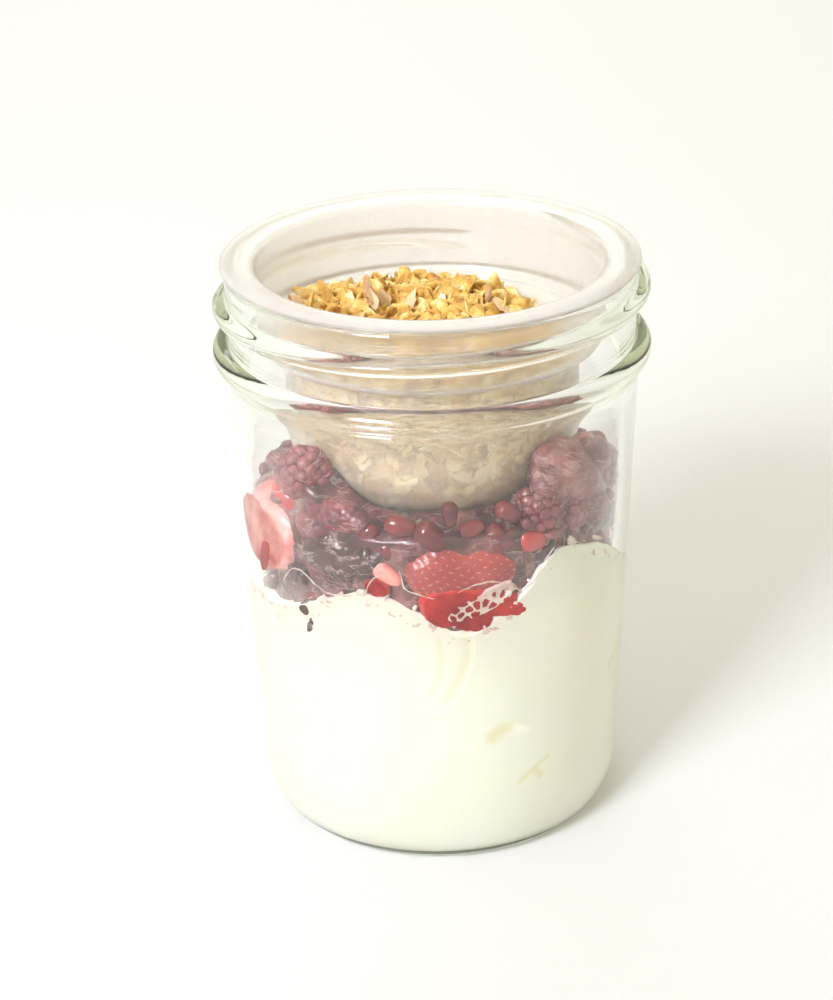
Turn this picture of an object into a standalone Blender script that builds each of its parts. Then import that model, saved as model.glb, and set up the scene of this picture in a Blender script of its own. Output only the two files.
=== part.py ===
"""Yogurt parfait: a glass jar of yogurt and mixed berries, with a snack cup of granola in its mouth.

Metres, +Z up. The origin is the centre of the jar's base, where it stands, and -Y is the front.
"""

import math

import bmesh
import bpy

MM = 0.001
GAP = 0.3 * MM  # between pieces that touch
CUP_GAP = 0.5 * MM  # between the snack cup's rounded side and the berries' flat faces

# Jar: a wide-mouth pint with one turn of thread and a bead below it
JAR_SEGMENTS = 56
CONTACT_INNER, CONTACT_OUTER = 30.5 * MM, 33.3 * MM  # the flat ring that it stands on
PUSH_UP = 1.2 * MM
HEEL_TOP, HEEL_RADIUS = 11.3 * MM, 38.4 * MM
SHOULDER_TOP, SHOULDER_RADIUS = 95.6 * MM, 41.7 * MM
BEAD_HEIGHT, BEAD_HALF, BEAD_RADIUS = 101.6 * MM, 2.4 * MM, 44.3 * MM
NECK_RADIUS, MOUTH_RADIUS = 41.2 * MM, 38.0 * MM
RIM_TOP, LIP_ROUNDING = 119.0 * MM, 1.3 * MM
WALL, BASE, INNER_FILLET = 2.8 * MM, 4.2 * MM, 7.5 * MM

# Thread: a right-hand ridge that starts and fades out at the back
THREAD_PITCH, THREAD_RADIUS, THREAD_HALF = 6.35 * MM, 43.9 * MM, 2.2 * MM
THREAD_FRONT_HEIGHT = 112.7 * MM
THREAD_FROM, THREAD_TO, THREAD_FADE = 60.0, 426.0, 18.0  # degrees anticlockwise from +X
THREAD_STEP = 6.0
FRONT = 270.0

# Snack cup: a flange on the rim, a wide top, a rounded step and a deep well with a rounded bottom
CUP_SEGMENTS = 40
CUP_WALL = 0.7 * MM
FLANGE_RADIUS, FLANGE_INNER = 41.4 * MM, 35.9 * MM
STEP_RADIUS, STEP_HEIGHT, STEP_ROUNDING = 35.6 * MM, 106.0 * MM, 2.8 * MM
WELL_TOP_RADIUS, WELL_LOW_RADIUS, WELL_LOW = 30.0 * MM, 29.4 * MM, 84.5 * MM
CUP_BOTTOM_RADIUS, CUP_BOTTOM = 16.0 * MM, 72.0 * MM

# Contents
FILL_SEGMENTS = 40
YOGURT_LEVEL, YOGURT_MIDDLE = 52.5 * MM, 59.0 * MM
YOGURT_SWELLS = ((-42, 16.5, 28), (-111, 10.0, 24), (-82, -3.0, 9), (70, 8.0, 40), (140, 5.0, 25))
BERRY_LEVEL = 85.0 * MM
BERRY_SWELLS = (
    (-88, -9.0, 32),
    (-33, 3.0, 22),
    (-134, 4.5, 20),
    (-170, -12.0, 22),
    (60, 3.0, 35),
    (130, 4.0, 20),
)
BERRY_LUMPS, BERRY_LUMP_RISE, BERRY_FALL = 9, 2.2 * MM, 1.5 * MM
CUP_SIDE_SHARES = (0.0, 0.05, 0.16, 0.33, 0.55, 0.78)
HEAP_SHARES = (0.0, 0.3, 0.65, 1.0)
YOGURT_WALL_RINGS = (26 * MM, 40 * MM)
SURFACE_SHARES = (1.0, 0.88, 0.7, 0.5, 0.3, 0.0)  # from the glass to the axis
GRANOLA_LEVEL, GRANOLA_MOUND = 103.0 * MM, 3.8 * MM
GRANOLA_SWELLS = ((5, -6.0, 38), (-100, 0.5, 50))
GRANOLA_LUMP = 0.9 * MM
GRANOLA_SHARES = (1.0, 0.85, 0.68, 0.5, 0.3, 0.0)  # from the well's wall to the axis


def swell(angle, swells):
    """Height that rises and dips, each (degrees, mm, spread in degrees), add at an angle in degrees."""
    total = 0.0
    for centre, rise, spread in swells:
        apart = (angle - centre + 180) % 360 - 180
        total += rise * MM * math.exp(-((apart / spread) ** 2))
    return total


def arc(centre, radii, start, end, steps):
    """Points (radius, height) along an ellipse's arc, from start to end in degrees, both ends included."""
    points = []
    for step in range(steps + 1):
        turn = math.radians(start + (end - start) * step / steps)
        points.append((centre[0] + radii[0] * math.cos(turn), centre[1] + radii[1] * math.sin(turn)))
    return points


def between(low, high, share):
    return low + (high - low) * share


def jar_inside():
    """The jar's inner wall from the middle of its floor up to the mouth."""
    fillet_top = BASE + INNER_FILLET
    taper = (SHOULDER_RADIUS - HEEL_RADIUS) / (SHOULDER_TOP - HEEL_TOP)
    wall_at_fillet = HEEL_RADIUS - WALL + taper * (fillet_top - HEEL_TOP)
    corner = arc((wall_at_fillet - INNER_FILLET, fillet_top), (INNER_FILLET, INNER_FILLET), -90, 0, 5)
    return [
        (0.0, BASE),
        *corner,
        (SHOULDER_RADIUS - WALL, SHOULDER_TOP),
        (MOUTH_RADIUS, SHOULDER_TOP + 7.0 * MM),
        (MOUTH_RADIUS, RIM_TOP - LIP_ROUNDING),
    ]


def jar_outside():
    """The jar's outer wall from the lip down to the middle of its base."""
    lip_middle = (NECK_RADIUS - LIP_ROUNDING, RIM_TOP - LIP_ROUNDING)
    lip = arc(lip_middle, (LIP_ROUNDING, LIP_ROUNDING), 90, 0, 3)
    bead = arc((NECK_RADIUS, BEAD_HEIGHT), (BEAD_RADIUS - NECK_RADIUS, BEAD_HALF), 90, -60, 5)
    heel = arc((CONTACT_OUTER, HEEL_TOP), (HEEL_RADIUS - CONTACT_OUTER, HEEL_TOP), 0, -90, 6)
    return [
        (MOUTH_RADIUS + LIP_ROUNDING, RIM_TOP),
        *lip,
        *bead,
        (SHOULDER_RADIUS + 0.3 * MM, SHOULDER_TOP + 1.6 * MM),
        (SHOULDER_RADIUS, SHOULDER_TOP),
        *heel,
        (CONTACT_INNER, 0.0),
        (CONTACT_INNER - 3.0 * MM, PUSH_UP),
        (0.0, PUSH_UP),
    ]


def radius_at(wall, height):
    """A wall's radius at a height, from its points from low to high."""
    for (low_radius, low), (high_radius, high) in zip(wall, wall[1:]):
        if height <= high:
            return between(low_radius, high_radius, (height - low) / (high - low))
    return wall[-1][0]


def radius_inside(height):
    """The jar's inner radius at a height."""
    return radius_at(jar_inside()[1:], height)


def cup_outside():
    """The snack cup's outer wall from the middle of its bottom up to the underside of the flange."""
    low_corner = (WELL_LOW_RADIUS - CUP_BOTTOM_RADIUS, WELL_LOW - CUP_BOTTOM)
    step_middle = between(WELL_TOP_RADIUS, STEP_RADIUS, 0.5)
    rounding = (step_middle - WELL_TOP_RADIUS, STEP_ROUNDING)
    return [
        (0.0, CUP_BOTTOM),
        *arc((CUP_BOTTOM_RADIUS, WELL_LOW), low_corner, -90, 0, 5),
        *arc((step_middle, STEP_HEIGHT - STEP_ROUNDING), rounding, 180, 90, 3),
        *arc((step_middle, STEP_HEIGHT + STEP_ROUNDING), rounding, -90, 0, 3)[1:],
        (FLANGE_INNER + CUP_WALL, RIM_TOP + GAP),
    ]


def cup_inside():
    """The snack cup's inner wall from the middle of its floor up to the flange's inner edge."""
    outside = cup_outside()
    inside = [(0.0, CUP_BOTTOM + CUP_WALL)]
    for before, point, after in zip(outside, outside[1:], outside[2:]):
        along = (after[0] - before[0], after[1] - before[1])
        length = math.hypot(*along)
        inside.append((point[0] - CUP_WALL * along[1] / length, point[1] + CUP_WALL * along[0] / length))
    inside.append((FLANGE_INNER, RIM_TOP + GAP + CUP_WALL))
    return inside


def well_inside():
    """The inner wall of the cup's well, from its floor's edge up to where the step begins."""
    return [point for point in cup_inside()[1:] if point[1] < STEP_HEIGHT - STEP_ROUNDING + CUP_WALL]


def yogurt_top(share, angle):
    """Height of the yogurt's surface at a share of the way from the axis to the glass."""
    at_glass = YOGURT_LEVEL + swell(angle, YOGURT_SWELLS)
    return between(YOGURT_MIDDLE, at_glass, share**2)


def berry_top(share, angle):
    """Height of the heap at a share of the way from the snack cup to the glass, lumpy by the berry."""
    lump = BERRY_LUMP_RISE * abs(math.sin(math.radians(angle * BERRY_LUMPS / 2))) * math.sin(math.pi * share)
    return BERRY_LEVEL + swell(angle, BERRY_SWELLS) - BERRY_FALL * share**3 + lump


def granola_top(share, angle):
    """Height of the granola at a share of the way from the axis to the cup's well."""
    turn = math.radians(angle)
    lump = math.sin(5 * turn + 9 * share) * math.sin(7 * share + 3 * turn)
    edge = swell(angle, GRANOLA_SWELLS) * share**2
    return GRANOLA_LEVEL + GRANOLA_MOUND * (1 - share**2) + edge + GRANOLA_LUMP * lump * min(1, 3 * share)


def object_from(name, mesh_data, material):
    mesh = bpy.data.meshes.new(name)
    bmesh.ops.recalc_face_normals(mesh_data, faces=mesh_data.faces)
    mesh_data.to_mesh(mesh)
    mesh_data.free()
    mesh.shade_smooth()
    mesh.set_sharp_from_angle(angle=math.radians(40))
    mesh.materials.append(material)
    piece = bpy.data.objects.new(name, mesh)
    bpy.context.scene.collection.objects.link(piece)
    return piece


def turned(name, profile, segments, material):
    """A solid of revolution from a profile of (radius, height) points that starts and ends on the axis."""
    shape = bmesh.new()
    outline = [shape.verts.new((radius, 0, height)) for radius, height in profile]
    edges = [shape.edges.new(pair) for pair in zip(outline, outline[1:])]
    bmesh.ops.spin(
        shape,
        geom=outline + edges,
        axis=(0, 0, 1),
        cent=(0, 0, 0),
        angle=math.tau,
        steps=segments,
        use_merge=True,
    )
    bmesh.ops.remove_doubles(shape, verts=shape.verts, dist=0.01 * MM)
    return object_from(name, shape, material)


def wrapped(name, rings, segments, material):
    """A solid wrapped round the axis: each ring is a function of the angle that gives (radius, height).

    The first and the last ring are points on the axis.
    """
    shape = bmesh.new()
    bmesh.ops.create_grid(shape, x_segments=segments, y_segments=len(rings) - 1, size=0.5)
    bmesh.ops.triangulate(shape, faces=shape.faces, quad_method="FIXED")
    for vert in shape.verts:
        step = round((vert.co.x + 0.5) * segments) % segments
        ring = rings[round((vert.co.y + 0.5) * (len(rings) - 1))]
        angle = 360 * step / segments
        radius, height = ring(angle)
        turn = math.radians(angle)
        vert.co = (radius * math.cos(turn), radius * math.sin(turn), height)
    bmesh.ops.remove_doubles(shape, verts=shape.verts, dist=0.01 * MM)
    return object_from(name, shape, material)


def steady(radius, height):
    """A ring that is the same all the way round."""

    def ring(angle):
        return radius, height

    return ring


def thread_ridge(material):
    """The jar's thread, sunk into the neck so that it can be joined to it."""
    steps = round((THREAD_TO - THREAD_FROM) / THREAD_STEP)
    root = NECK_RADIUS - 1.2 * MM
    shape = bmesh.new()
    loops = []
    for step in range(steps + 1):
        angle = between(THREAD_FROM, THREAD_TO, step / steps)
        fade = min(1.0, (angle - THREAD_FROM) / THREAD_FADE, (THREAD_TO - angle) / THREAD_FADE)
        crest = between(NECK_RADIUS - 0.4 * MM, THREAD_RADIUS, math.sin(fade * math.pi / 2))
        middle = THREAD_FRONT_HEIGHT + THREAD_PITCH * (angle - FRONT) / 360
        section = [
            (root, -THREAD_HALF),
            (between(root, crest, 0.8), -0.45 * THREAD_HALF),
            (crest, -0.15 * THREAD_HALF),
            (crest, 0.15 * THREAD_HALF),
            (between(root, crest, 0.8), 0.45 * THREAD_HALF),
            (root, THREAD_HALF),
        ]
        turn = math.radians(angle)
        loop = [
            shape.verts.new((radius * math.cos(turn), radius * math.sin(turn), middle + rise))
            for radius, rise in section
        ]
        loops.append(loop)
    for loop, following in zip(loops, loops[1:]):
        for index in range(len(loop)):
            after = (index + 1) % len(loop)
            shape.faces.new((loop[index], loop[after], following[after], following[index]))
    shape.faces.new(loops[0])
    shape.faces.new(reversed(loops[-1]))
    ridge = object_from("thread_ridge", shape, material)
    ridge.hide_render = True
    ridge.display_type = "WIRE"
    return ridge


def make_jar(material):
    jar = turned("jar", jar_inside() + jar_outside(), JAR_SEGMENTS, material)
    join = jar.modifiers.new("thread", "BOOLEAN")
    join.operation = "UNION"
    join.solver = "EXACT"
    join.object = thread_ridge(material)
    return jar


def make_cup(material):
    flange_top = RIM_TOP + GAP + CUP_WALL
    flange = [(FLANGE_RADIUS, flange_top), (FLANGE_RADIUS, RIM_TOP + GAP)]
    profile = cup_inside() + flange + cup_outside()[::-1]
    return turned("granola_cup", profile, CUP_SEGMENTS, material)


def make_yogurt(material):
    floor = [(max(radius - GAP, 0.0), height + GAP) for radius, height in jar_inside()[:-3]]
    rings = [steady(radius, height) for radius, height in floor]
    rings += [steady(radius_inside(height) - GAP, height) for height in YOGURT_WALL_RINGS]
    rings += [fruit_line(share, 0.0) for share in SURFACE_SHARES]
    return wrapped("yogurt", rings, FILL_SEGMENTS, material)


def fruit_line(share, lift):
    """A ring on the surface between yogurt and berries, lifted by a gap for the berries' side."""

    def ring(angle):
        height = yogurt_top(share, angle)
        at_glass = yogurt_top(1.0, angle)
        return share * (radius_inside(at_glass) - GAP), height + lift

    return ring


def cup_line(share):
    """A ring beside the snack cup, at a share of the way from its bottom up to where the berries reach."""

    def ring(angle):
        height = between(CUP_BOTTOM, berry_top(0.0, angle), share)
        return radius_at(cup_outside()[1:], height) + CUP_GAP, height - GAP

    return ring


def heap_line(share):
    """A ring on top of the berries, at a share of the way from the snack cup to the glass."""

    def ring(angle):
        height = berry_top(share, angle)
        beside_cup = radius_at(cup_outside()[1:], berry_top(0.0, angle)) + CUP_GAP
        return between(beside_cup, radius_inside(height) - GAP, share), height - GAP

    return ring


def glass_line(share):
    """A ring where the berries touch the glass, at a share of the way from the yogurt up to their top."""

    def ring(angle):
        height = between(yogurt_top(1.0, angle) + GAP, berry_top(1.0, angle) - GAP, share)
        return radius_inside(height) - GAP, height

    return ring


def make_berries(material):
    """The heap between the yogurt and the snack cup, open in the middle where the cup is pressed in."""
    rings = [steady(0.0, CUP_BOTTOM - GAP)]
    rings += [cup_line(share) for share in CUP_SIDE_SHARES]
    rings += [heap_line(share) for share in HEAP_SHARES]
    rings.append(glass_line(0.5))
    rings += [fruit_line(share, GAP) for share in SURFACE_SHARES]
    return wrapped("berries", rings, FILL_SEGMENTS, material)


def make_granola(material):
    """The heap that fills the cup's well."""
    corner = [point for point in well_inside() if point[1] < WELL_LOW + 1 * MM]
    well = [(0.0, CUP_BOTTOM + CUP_WALL), *corner]
    rings = [steady(max(radius - GAP, 0.0), height + GAP) for radius, height in well]
    rings += [granola_line(share) for share in GRANOLA_SHARES]
    return wrapped("granola", rings, FILL_SEGMENTS, material)


def granola_line(share):
    """A ring on top of the granola, at a share of the way from the axis to the well's wall."""

    def ring(angle):
        edge = radius_at(well_inside(), granola_top(1.0, angle)) - GAP
        return share * edge, granola_top(share, angle)

    return ring


def finish(name, colour, roughness, transmission=0.0, subsurface=0.0):
    material = bpy.data.materials.new(name)
    material.use_nodes = True
    shader = material.node_tree.nodes["Principled BSDF"]
    shader.inputs["Base Color"].default_value = (*colour, 1.0)
    shader.inputs["Roughness"].default_value = roughness
    shader.inputs["Metallic"].default_value = 0.0
    shader.inputs["Transmission Weight"].default_value = transmission
    shader.inputs["Subsurface Weight"].default_value = subsurface
    material.diffuse_color = (*colour, 1.0)
    return material


def clear_scene():
    for thing in list(bpy.data.objects):
        bpy.data.objects.remove(thing, do_unlink=True)


def main():
    clear_scene()
    make_jar(finish("jar_glass", (0.93, 0.97, 0.94), 0.03, transmission=1.0))
    make_cup(finish("cup_plastic", (0.93, 0.93, 0.91), 0.25, transmission=0.7))
    make_yogurt(finish("yogurt", (0.93, 0.93, 0.86), 0.35, subsurface=0.2))
    make_berries(finish("berries", (0.42, 0.03, 0.05), 0.25))
    make_granola(finish("granola", (0.78, 0.52, 0.22), 0.7))


main()
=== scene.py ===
import math
import random
from bisect import bisect_right

import bmesh
import bpy
from mathutils import Euler, Matrix, Vector, noise
from mathutils.kdtree import KDTree


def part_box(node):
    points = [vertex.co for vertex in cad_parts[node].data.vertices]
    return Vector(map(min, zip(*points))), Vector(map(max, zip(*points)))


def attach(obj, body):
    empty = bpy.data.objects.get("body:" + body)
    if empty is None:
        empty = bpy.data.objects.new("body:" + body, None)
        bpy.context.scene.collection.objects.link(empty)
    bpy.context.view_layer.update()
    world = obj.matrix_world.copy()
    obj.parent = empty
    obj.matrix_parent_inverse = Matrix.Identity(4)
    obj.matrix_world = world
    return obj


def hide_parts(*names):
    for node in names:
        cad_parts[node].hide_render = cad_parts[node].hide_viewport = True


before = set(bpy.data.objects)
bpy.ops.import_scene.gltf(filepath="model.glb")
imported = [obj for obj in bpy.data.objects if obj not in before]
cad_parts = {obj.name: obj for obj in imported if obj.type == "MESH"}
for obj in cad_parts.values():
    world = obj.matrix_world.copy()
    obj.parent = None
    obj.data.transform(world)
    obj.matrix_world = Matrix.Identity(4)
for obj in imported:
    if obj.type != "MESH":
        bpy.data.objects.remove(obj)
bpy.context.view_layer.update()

# Metres, +Z up, the front of the jar towards -Y.
# Angles are degrees anticlockwise from +X, so the front is at -90.
mm = 0.001
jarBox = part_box("jar")
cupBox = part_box("granola_cup")
print("frame loaded:", sorted(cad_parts))

wallPerDegree = 0.67  # how far one degree is round the inside of the wall, in mm


def polar(radius, degrees, height):
    turn = math.radians(degrees)
    return Vector((radius * math.cos(turn), radius * math.sin(turn), height))


def degreesOf(point):
    return math.degrees(math.atan2(point.y, point.x))


def radiusOf(point):
    return math.hypot(point.x, point.y)


def between(low, high, share):
    return low + (high - low) * share


def turnBetween(first, second):
    return (first - second + 180) % 360 - 180


def drawn(chance, limits):
    # a random length between two limits in mm
    return chance.uniform(*limits) * mm


def swell(degrees, swells):
    # each swell is its middle in degrees, its rise in mm and its spread in degrees
    return sum(rise * mm * math.exp(-((turnBetween(degrees, middle) / spread) ** 2))
               for middle, rise, spread in swells)


def arcLength(degrees):
    return degrees * wallPerDegree


def pathDistance(degrees, height, path):
    # the shortest way in mm over the wall from a spot to a path of (degrees, mm) points
    x, y = arcLength(degrees), height / mm
    nearest = 1000.0
    for (startTurn, startHeight), (endTurn, endHeight) in zip(path, path[1:]):
        startX, alongX = arcLength(startTurn), arcLength(endTurn - startTurn)
        alongY = endHeight - startHeight
        share = ((x - startX) * alongX + (y - startHeight) * alongY) / (alongX ** 2 + alongY ** 2)
        share = min(1.0, max(0.0, share))
        nearest = min(nearest, math.hypot(x - startX - alongX * share, y - startHeight - alongY * share))
    return nearest


def arc(centre, radii, start, end, steps):
    points = []
    for step in range(steps + 1):
        turn = math.radians(between(start, end, step / steps))
        points.append((centre[0] + radii[0] * math.cos(turn), centre[1] + radii[1] * math.sin(turn)))
    return points


def straight(start, end, steps):
    # points after the start, up to and with the end
    return [tuple(between(a, b, step / steps) for a, b in zip(start, end)) for step in range(1, steps + 1)]


def spun(profile, segments):
    # a closed solid from a profile of (radius, height) that starts and ends on the axis
    shape = bmesh.new()
    outline = [shape.verts.new((radius, 0, height)) for radius, height in profile]
    for pair in zip(outline, outline[1:]):
        shape.edges.new(pair)
    bmesh.ops.spin(shape, geom=outline + shape.edges[:], axis=(0, 0, 1), cent=(0, 0, 0),
                   angle=math.tau, steps=segments, use_merge=True)
    bmesh.ops.remove_doubles(shape, verts=shape.verts, dist=0.01 * mm)
    bmesh.ops.recalc_face_normals(shape, faces=shape.faces)
    return shape


def sleeve(rings, segments):
    # a closed solid round the axis: each ring gives (radius, height) from the angle,
    # and the first and last rings are on the axis
    last = len(rings) - 1
    shape = bmesh.new()
    bmesh.ops.create_grid(shape, x_segments=segments, y_segments=last, size=1)
    for vert in shape.verts:
        degrees = 360 * (round((vert.co.x + 1) / 2 * segments) % segments) / segments - 180
        radius, height = rings[round((vert.co.y + 1) / 2 * last)](degrees)
        vert.co = polar(radius, degrees, height)
    bmesh.ops.remove_doubles(shape, verts=shape.verts, dist=0.002 * mm)
    bmesh.ops.recalc_face_normals(shape, faces=shape.faces)
    return shape


def level(radius, height):
    return lambda degrees: (radius, height)


def stamp(target, mesh, place):
    # adds a copy of a small mesh, put in its place
    copy = mesh.copy()
    copy.transform(place)
    target.from_mesh(copy)
    bpy.data.meshes.remove(copy)


def ball(subdivisions):
    shape = bmesh.new()
    bmesh.ops.create_icosphere(shape, subdivisions=subdivisions, radius=1)
    mesh = bpy.data.meshes.new("ball")
    shape.to_mesh(mesh)
    shape.free()
    return mesh


def gather(target, single, place):
    # adds one made thing, put in its place, to the shape that holds all of its kind
    bmesh.ops.transform(single, matrix=place, verts=single.verts)
    mesh = bpy.data.meshes.new("single")
    single.to_mesh(mesh)
    single.free()
    target.from_mesh(mesh)
    bpy.data.meshes.remove(mesh)


def finished(name, shape, materials, replaced=()):
    mesh = bpy.data.meshes.new(name)
    shape.to_mesh(mesh)
    shape.free()
    mesh.shade_smooth()
    for material in materials:
        mesh.materials.append(material)
    piece = bpy.data.objects.new(name, mesh)
    bpy.context.scene.collection.objects.link(piece)
    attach(piece, "root")
    if replaced:
        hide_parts(*replaced)
    print("  piece", name, len(mesh.polygons), "faces")
    return piece


def principled(name):
    material = bpy.data.materials.new(name)
    material.use_nodes = True
    return material, material.node_tree, material.node_tree.nodes["Principled BSDF"]


def setSockets(shader, values):
    for socket, value in values.items():
        shader.inputs[socket].default_value = value


def grain(tree, scale, detail=4.0, roughness=0.55, stretch=(1, 1, 1), distortion=0.0):
    place = tree.nodes.new("ShaderNodeTexCoord")
    mapping = tree.nodes.new("ShaderNodeMapping")
    mapping.inputs["Scale"].default_value = stretch
    pattern = tree.nodes.new("ShaderNodeTexNoise")
    setSockets(pattern, {"Scale": scale, "Detail": detail, "Roughness": roughness, "Distortion": distortion})
    tree.links.new(place.outputs["Object"], mapping.inputs["Vector"])
    tree.links.new(mapping.outputs["Vector"], pattern.inputs["Vector"])
    return pattern.outputs["Fac"]


def ramp(tree, source, stops):
    # stops are (place, colour)
    colours = tree.nodes.new("ShaderNodeValToRGB")
    colours.color_ramp.elements[0].position = stops[0][0]
    colours.color_ramp.elements[0].color = (*stops[0][1], 1)
    colours.color_ramp.elements[1].position = stops[-1][0]
    colours.color_ramp.elements[1].color = (*stops[-1][1], 1)
    for place, colour in stops[1:-1]:
        colours.color_ramp.elements.new(place).color = (*colour, 1)
    tree.links.new(source, colours.inputs["Fac"])
    return colours.outputs["Color"]


def blended(tree, factor, first, second):
    blend = tree.nodes.new("ShaderNodeMix")
    blend.data_type = "RGBA"
    tree.links.new(factor, blend.inputs[0])
    tree.links.new(first, blend.inputs[6])
    blend.inputs[7].default_value = (*second, 1)
    return blend.outputs[2]


def bumped(tree, shader, source, height, strength=1.0):
    bump = tree.nodes.new("ShaderNodeBump")
    bump.inputs["Distance"].default_value = height
    bump.inputs["Strength"].default_value = strength
    tree.links.new(source, bump.inputs["Height"])
    tree.links.new(bump.outputs["Normal"], shader.inputs["Normal"])


# The jar is pressed glass with one turn of thread and a bead, thick at the heel.
jar = {
    "segments": 256,
    "standing": (30.5 * mm, 33.3 * mm),  # inner and outer radius of the ring that it stands on
    "pushUp": 1.2 * mm,
    "heel": (38.4 * mm, 11.3 * mm),  # radius, and the height where the wall starts
    "shoulder": (41.7 * mm, 95.6 * mm),
    "neckTaper": 7.0 * mm,  # how far up from the shoulder the inside narrows to the mouth
    "bead": (101.6 * mm, 2.4 * mm),  # height, and half its thickness
    "neck": 41.2 * mm,
    "mouth": 38.0 * mm,
    "lip": 1.3 * mm,
    "wall": 2.8 * mm,
    "base": 2.2 * mm,
    "insideCorner": (4.6 * mm, 8.0 * mm),  # how far the rounded corner inside reaches across and up
    "threadTop": 43.9 * mm,
    "threadHalf": 2.3 * mm,
    "threadFront": 112.7 * mm,
    "threadPitch": 6.35 * mm,
    "threadTurn": (60.0, 426.0),
    "threadFade": 50.0,
    "threadFoot": 104.5 * mm,  # the neck is plain below this height
    "waviness": 0.16 * mm,  # how far the inside wanders from round
    "wavySpan": (14.0 * mm, 103.0 * mm),  # the heights between which it wanders
    "wavyFade": (14.0 * mm, 10.0 * mm),  # and how it fades in and out within them
    "wavyLength": 26.0 * mm,
    "tint": (0.99, 0.995, 0.985),
    "depthTint": (0.72, 0.85, 0.60),  # what light turns to on a long way through
    "depthTintDensity": 13.0,
}
jarTop = jarBox[1].z
beadReach = jarBox[1].x


def innerRadius(height):
    # the plain inside of the wall at a height
    (heelRadius, heelTop), (shoulderRadius, shoulderTop) = jar["heel"], jar["shoulder"]
    if height > shoulderTop:
        share = min(1.0, (height - shoulderTop) / jar["neckTaper"])
        return between(shoulderRadius - jar["wall"], jar["mouth"], share * share * (3 - 2 * share))
    radius = between(heelRadius, shoulderRadius, (height - heelTop) / (shoulderTop - heelTop)) - jar["wall"]
    across, tall = jar["insideCorner"]
    down = (jar["base"] + tall - height) / tall
    if down > 0:
        radius -= across * (1 - math.sqrt(max(0.0, 1 - down ** 2)))
    return radius


def wallWander(degrees, height):
    # unevenness of the inside, fading out at the floor and in the neck
    (low, high), (fadeIn, fadeOut) = jar["wavySpan"], jar["wavyFade"]
    fade = min(1.0, max(0.0, (height - low) / fadeIn), max(0.0, (high - height) / fadeOut))
    return jar["waviness"] * fade * noise.noise(polar(1.7, degrees, height / jar["wavyLength"]))


def glassInside(degrees, height):
    return innerRadius(height) + wallWander(degrees, height)


def threadRise(degrees, height):
    start, end = jar["threadTurn"]
    rise = 0.0
    for turn in (degrees % 360, degrees % 360 + 360):
        if start <= turn <= end:
            fade = min(1.0, (turn - start) / jar["threadFade"], (end - turn) / jar["threadFade"])
            fade = fade * fade * (3 - 2 * fade)
            middle = jar["threadFront"] + jar["threadPitch"] * (turn - 270) / 360
            across = abs(height - middle) / jar["threadHalf"]
            if across < 1:
                crest = (jar["threadTop"] - jar["neck"]) * fade
                rise = max(rise, crest * (1 - across ** 2.2) ** 1.3)
    return rise


def jarProfile():
    (across, tall), base, lip = jar["insideCorner"], jar["base"], jar["lip"]
    (heelRadius, heelTop), (shoulderRadius, shoulderTop) = jar["heel"], jar["shoulder"]
    beadHeight, beadHalf = jar["bead"]
    standingIn, standingOut = jar["standing"]
    cornerRadius = innerRadius(base + tall)
    inside = [(0, base)] + straight((0, base), (cornerRadius - across, base), 6)
    inside += arc((cornerRadius - across, base + tall), (across, tall), -90, 0, 16)[1:]
    heights = [between(base + tall, shoulderTop, step / 30) for step in range(1, 31)]
    heights += [between(shoulderTop, shoulderTop + jar["neckTaper"], step / 8) for step in range(1, 9)]
    inside += [(innerRadius(height), height) for height in heights]
    inside += straight(inside[-1], (jar["mouth"], jarTop - lip), 6)
    inside += arc((jar["mouth"] + lip, jarTop - lip), (lip, lip), 180, 90, 6)[1:]
    outside = [(jar["neck"] - lip, jarTop)]
    outside += arc((jar["neck"] - lip, jarTop - lip), (lip, lip), 90, 0, 6)[1:]
    outside += straight(outside[-1], (jar["neck"], beadHeight + beadHalf), 44)
    outside += arc((jar["neck"], beadHeight), (beadReach - jar["neck"], beadHalf), 90, -58, 16)[1:]
    last = outside[-1]
    outside += [(between(last[0], shoulderRadius + 0.25 * mm, 0.7), last[1] - 0.9 * mm),
                (shoulderRadius + 0.25 * mm, shoulderTop + 1.5 * mm)]
    outside += straight(outside[-1], (shoulderRadius, shoulderTop - 2 * mm), 3)
    outside += straight(outside[-1], (heelRadius, heelTop), 22)
    outside += arc((standingOut, heelTop), (heelRadius - standingOut, heelTop), 0, -90, 20)[1:]
    outside += [(between(standingIn, standingOut, 0.5), 0), (standingIn, 0)]
    outside += [(standingIn - 1.0 * mm, 0.3 * mm), (standingIn - 2.2 * mm, 0.9 * mm)]
    outside += [(standingIn - 3.4 * mm, jar["pushUp"]), (15 * mm, jar["pushUp"]), (0, jar["pushUp"])]
    return inside + outside


def makeGlass():
    material, tree, shader = principled("jar_glass")
    setSockets(shader, {"Base Color": (*jar["tint"], 1), "Roughness": 0.0, "IOR": 1.5,
                        "Transmission Weight": 1.0})
    absorb = tree.nodes.new("ShaderNodeVolumeAbsorption")
    setSockets(absorb, {"Color": (*jar["depthTint"], 1), "Density": jar["depthTintDensity"]})
    tree.links.new(absorb.outputs["Volume"], tree.nodes["Material Output"].inputs["Volume"])
    bumped(tree, shader, grain(tree, 140, detail=2, stretch=(1, 1, 0.5)), 0.02 * mm)
    return material


def makeJar(material):
    shape = spun(jarProfile(), jar["segments"])
    near, wallFoot = 0.05 * mm, jar["base"] + jar["insideCorner"][1]
    for vert in shape.verts:
        radius, degrees, height = radiusOf(vert.co), degreesOf(vert.co), vert.co.z
        onNeck = abs(radius - jar["neck"]) < near and height > jar["threadFoot"]
        onInside = abs(radius - innerRadius(height)) < near and height > wallFoot
        if onNeck:
            vert.co = polar(radius + threadRise(degrees, height), degrees, height)
        elif onInside:
            vert.co = polar(glassInside(degrees, height), degrees, height)
    return finished("glass_jar", shape, [material], ["jar"])


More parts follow.
